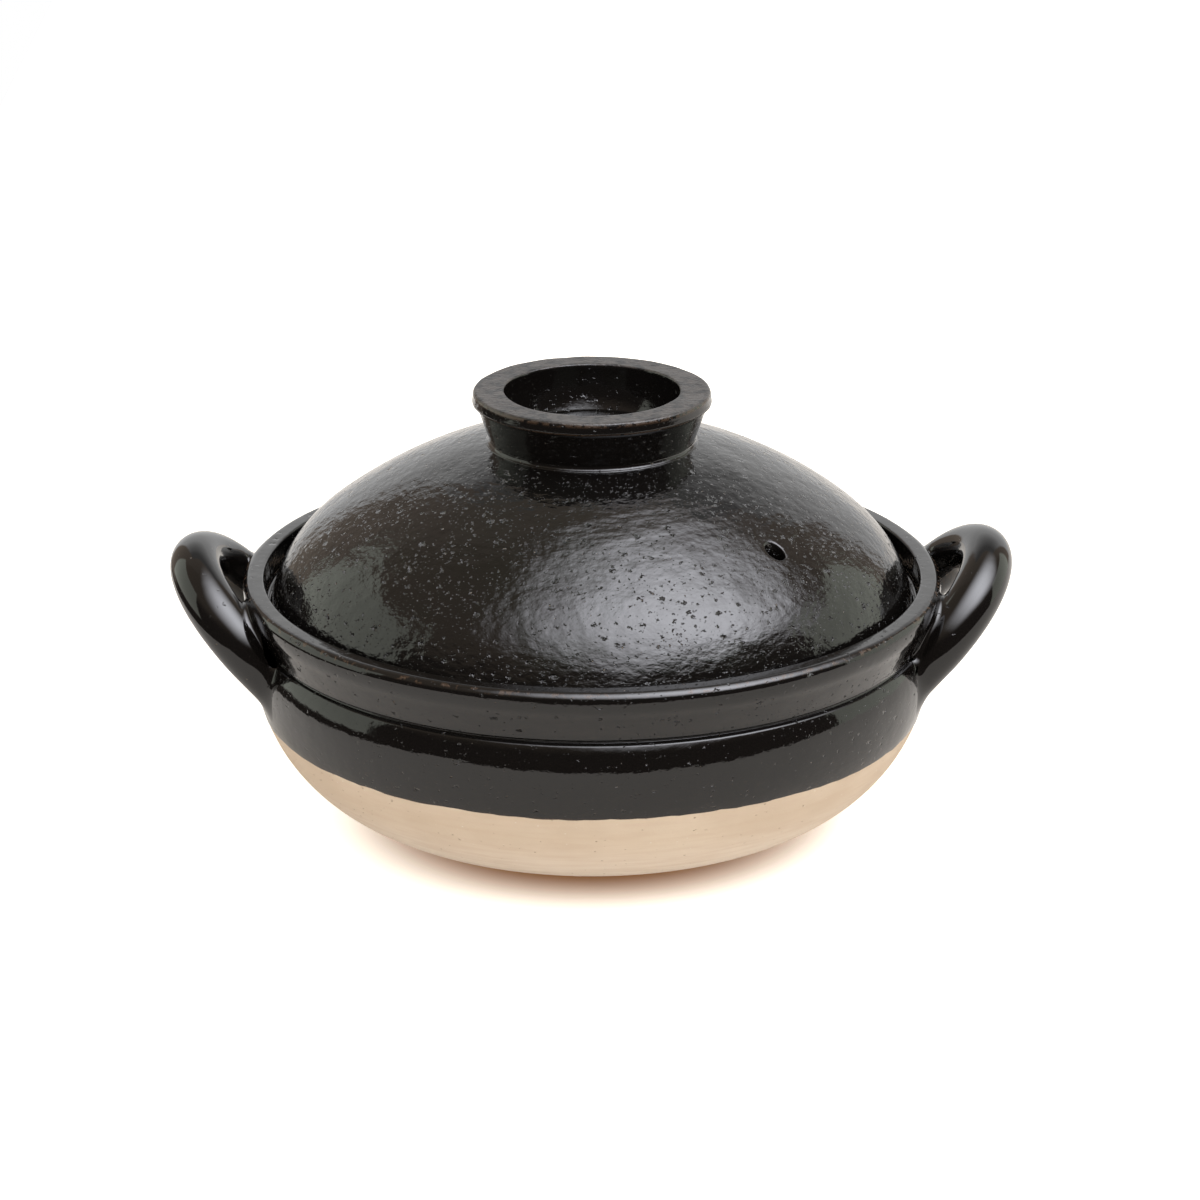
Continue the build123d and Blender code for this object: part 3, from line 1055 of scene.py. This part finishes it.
def turned_knob():
    """A closed ring that is sunk a little into the crown."""
    neck = Vector((neck_top - neck_foot, 0, band_low - band_slope - on_crown(neck_foot)))
    fillet = Vector((neck_foot, 0, on_crown(neck_foot))) + neck.normalized() * neck_fillet
    pen = Pen(neck_flare, on_crown(neck_flare) - knob_sunk, 0, 1, step=knob_step)
    pen.line(neck_flare, on_crown(neck_flare) + 0.05 * mm)
    pen.arc_arriving(fillet.x, fillet.z, neck.x, neck.z, steps=6)
    pen.line(neck_top, band_low - band_slope)
    pen.line(knob_radius, band_low)
    pen.line(knob_radius - band_lean, knob_top - band_round)
    pen.turn(0, 1)
    pen.arc(knob_radius - band_lean - band_round, knob_top, steps=7)
    pen.line(hollow_radius + hollow_round, knob_top)
    pen.arc(hollow_radius, knob_top - hollow_round, steps=5)
    pen.arc(hollow_floor, on_crown(hollow_floor))
    pen.line(hollow_floor, on_crown(hollow_floor) - knob_sunk)
    pen.line(neck_flare, on_crown(neck_flare) - knob_sunk)
    return swept(pen)


ring = turned_knob()
wobble(ring, 0.3 * mm, 9 * mm, seed=3.0)
piece_from(ring, "ring_knob", "lid", "lid_knob", knob_black)

# %% [markdown]
# ## The studio
# A black glaze shows mostly what it mirrors. A soft light hangs over the right shoulder of the pot, a
# pale panel stands on each side, a white wall behind, and the front of the room is dark. The world
# shader paints them by direction, and the camera sees plain white behind the pot.

# %% The studio groups
tree, given, result = group(
    "panel",
    [("Turn", FLOAT, 0.0), ("Rise", FLOAT, 0.0), ("From", FLOAT, 0.0), ("To", FLOAT, 90.0),
     ("Bottom", FLOAT, 0.0), ("Top", FLOAT, 40.0), ("Blur", FLOAT, 2.0)],
    [("Mask", FLOAT)],
)


def soft_side(tree, value, edge, blur, rising):
    """A soft edge of a panel, in degrees."""
    gap = sums(tree, "SUBTRACT", value, edge) if rising else sums(tree, "SUBTRACT", edge, value)
    share = sums(tree, "ADD", sums(tree, "DIVIDE", gap, blur), 0.5)
    return ramp(tree, share, 0.0, 1.0)


mask = 1.0
for value, edge, rising in (
    ("Turn", "From", True), ("Turn", "To", False), ("Rise", "Bottom", True), ("Rise", "Top", False)
):
    side = soft_side(tree, given[value], given[edge], given["Blur"], rising)
    mask = sums(tree, "MULTIPLY", mask, side)
tree.links.new(mask, result["Mask"])
print("group panel")

# %% Paint the studio
scene = bpy.context.scene
world = bpy.data.worlds.new("studio")
scene.world = world
world.use_nodes = True
tree = world.node_tree
way = add(tree, "ShaderNodeTexCoord").outputs["Generated"]
parts = split(tree, way)
bearing = sums(tree, "ARCTAN2", parts["X"], sums(tree, "MULTIPLY", parts["Y"], -1.0))
bearing = sums(tree, "FLOORED_MODULO", sums(tree, "MULTIPLY", bearing, 180 / pi), 360.0)
rise = sums(tree, "MULTIPLY", sums(tree, "ARCSINE", parts["Z"]), 180 / pi)

dark_front = (0.06, 0.05, 0.044, 1)
room = (0.34, 0.28, 0.22, 1)
far_room = (0.42, 0.35, 0.29, 1)
pale_panel = (1.15, 1.2, 1.05, 1)


def panel(start, end, bottom, top, blur):
    """The mask of a panel between two bearings and two rises, in degrees."""
    inputs = {"Turn": bearing, "Rise": rise, "From": start, "To": end,
              "Bottom": bottom, "Top": top, "Blur": blur}
    return use(tree, "panel", inputs)["Mask"]


studio = blend(tree, ramp(tree, rise, 18.0, 42.0), dark_front, room)
behind = panel(128.0, 228.0, -12.0, 70.0, blur=12.0)
studio = blend(tree, behind, studio, far_room)
right = panel(86.0, 133.0, -25.0, 32.0, blur=3.0)
studio = blend(tree, right, studio, pale_panel)
left = panel(223.0, 282.0, -4.0, 38.0, blur=3.0)
studio = blend(tree, left, studio, pale_panel)
wall_light = {"Value": rise, "From Min": 14.0, "From Max": 46.0, "To Min": 1.35, "To Max": 0.3}
wall_tone = add(tree, "ShaderNodeMapRange", wall_light).outputs["Result"]
backdrop = panel(143.0, 203.0, -20.0, 52.0, blur=4.0)
studio = blend(tree, backdrop, studio, wall_tone)
print("room painted")

# %% [markdown]
# The main light is a large soft box overhead. A Mapping node turns the view direction into the
# box's own frame, and dividing by the height projects it on to the box's plane, where each side has
# its own soft edge. Mirrored rays see the studio as it stands. Matt surfaces get a plain, even light
# instead, with a small share of the soft box, so that pale clay and a white table keep their colour.

# %% Hang the soft light
box_turn = (radians(20), 0, radians(53))
lowest = 0.05
lamp = (10.5, 10.7, 11.5)
plain = (0.9, 0.89, 0.88, 1)
matt_share = 0.3

box_frame = add(tree, "ShaderNodeMapping", {"Vector": way, "Rotation": box_turn}, vector_type="TEXTURE")
seen = split(tree, box_frame.outputs["Vector"])
height_in_box = sums(tree, "MAXIMUM", seen["Z"], lowest)
glow = ramp(tree, seen["Z"], lowest, 0.2)
for letter, edge, blur, rising in (
    ("X", -0.46, 1.63, True), ("X", 0.47, 1.21, False), ("Y", -0.59, 0.64, True), ("Y", 0.37, 0.88, False)
):
    across_box = sums(tree, "DIVIDE", seen[letter], height_in_box)
    glow = sums(tree, "MULTIPLY", glow, soft_side(tree, across_box, edge, blur, rising))
path = add(tree, "ShaderNodeLightPath").outputs
mirrored_ray = sums(tree, "MAXIMUM", path["Is Glossy Ray"], path["Is Transmission Ray"])
studio = blend(tree, mirrored_ray, plain, studio)
kept_share = sums(tree, "MULTIPLY_ADD", mirrored_ray, 1 - matt_share, matt_share)
glow = sums(tree, "MULTIPLY", glow, kept_share)
total = vectors(tree, "ADD", studio, vectors(tree, "SCALE", lamp, glow))
print("soft light hung")

# %% [markdown]
# The camera sees white wherever there is no pot, and so do mirrored and refracted rays where the
# white wall stands.

# %% White for the camera
white_up_to = 22.0
low_wall = sums(tree, "MULTIPLY", backdrop, sums(tree, "LESS_THAN", rise, white_up_to))
white = sums(tree, "MAXIMUM", path["Is Camera Ray"], sums(tree, "MULTIPLY", mirrored_ray, low_wall))
sky = blend(tree, white, total, (1, 1, 1, 1))
background = tree.nodes["Background"]
tree.links.new(sky, background.inputs["Color"])
background.inputs["Strength"].default_value = 1.0
print("studio lit")

# %% [markdown]
# ## The floor
# The table is white and matt. Near the foot its colour is painted warm and dark, a painted shade with the
# warm light that passes between paper and clay. Some light of its own, only for the camera, stands for the
# glow of the overexposed paper. It is white in the open and falls off to a dark brown at the foot, a painted
# shadow, so that the shade stays narrow and warm.

# %% Lay the table
table_mesh = bmesh.new()
table_place = Matrix.Translation((1.0, 1.16, 0)) @ Matrix.Diagonal((1.36, 1.5, 1, 1))
bmesh.ops.create_grid(table_mesh, x_segments=1, y_segments=1, size=1.0, matrix=table_place)
table_data = bpy.data.meshes.new("table")
table_mesh.to_mesh(table_data)
table_mesh.free()
table = bpy.data.objects.new("table", table_data)
scene.collection.objects.link(table)
table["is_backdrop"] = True
print("table laid")

# %% Paint the table
# Painted shade: a dark warm brown painted into the paper's colour near the foot.
painted_shade_at_foot = (0.38, 0.18, 0.06, 1)
paper_white = (0.77, 0.73, 0.67, 1)
# Painted shadow: the camera-only glow darkens to this brown at the foot.
painted_shadow_glow = (0.14, 0.05, 0.01, 1)
glow_white = (1, 0.94, 0.84, 1)
shade_width = 36 * mm
glow_width = 50 * mm

table_white, tree, shader = new_material("table_white")
shader.inputs["Roughness"].default_value = 0.9
shader.inputs["Specular IOR Level"].default_value = 0.0
place = add(tree, "ShaderNodeTexCoord").outputs["Object"]
from_axis = off_axis(tree, place)
# Painted shade: the paper's colour runs from the painted brown at the foot to white in the open.
out_of_painted_shade = ramp(tree, from_axis, foot_radius, foot_radius + shade_width)
paper_and_painted_shade = blend(tree, out_of_painted_shade, painted_shade_at_foot, paper_white)
tree.links.new(paper_and_painted_shade, shader.inputs["Base Color"])
# Painted shadow: the glow falls off towards the foot.
out_of_painted_shadow = ramp(tree, from_axis, foot_radius, foot_radius + glow_width)
glow_with_painted_shadow = blend(tree, out_of_painted_shadow, painted_shadow_glow, glow_white)
tree.links.new(glow_with_painted_shadow, shader.inputs["Emission Color"])
path = add(tree, "ShaderNodeLightPath").outputs
tree.links.new(path["Is Camera Ray"], shader.inputs["Emission Strength"])
table_data.materials.append(table_white)
print("table painted")

# %% [markdown]
# ## The camera
# A long lens from a little above shows the pot almost as a drawing would. The lens is shifted by a
# hair, because the pot stands slightly left of the middle.

# %% Set the camera
view_height = 0.0841
view_distance = 1.4982
view_rise = radians(19.84)
view_turn = radians(1.7)
back = Vector((-cos(view_rise) * sin(view_turn), -cos(view_rise) * cos(view_turn), sin(view_rise)))
lens = bpy.data.cameras.new("camera")
lens.sensor_width = 36
lens.lens = 119.2
lens.shift_x = 0.0067
camera = bpy.data.objects.new("camera", lens)
camera.location = Vector((0, 0, view_height)) + back * view_distance
camera.rotation_euler = back.to_track_quat("Z", "Y").to_euler()
scene.collection.objects.link(camera)
scene.camera = camera
scene.view_settings.view_transform = "Standard"
print("camera at", [round(value, 3) for value in camera.location])

# %% [markdown]
# ## Last look at the sizes
# The new pieces must stay inside the box of the CAD model, so both boxes are written down.

# %% Write the sizes and finish
box_now = [list(corner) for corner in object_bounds()]
for name, box in (("CAD", box_at_load), ("visual", box_now)):
    print(name, [[round(value / mm, 2) for value in corner] for corner in box])
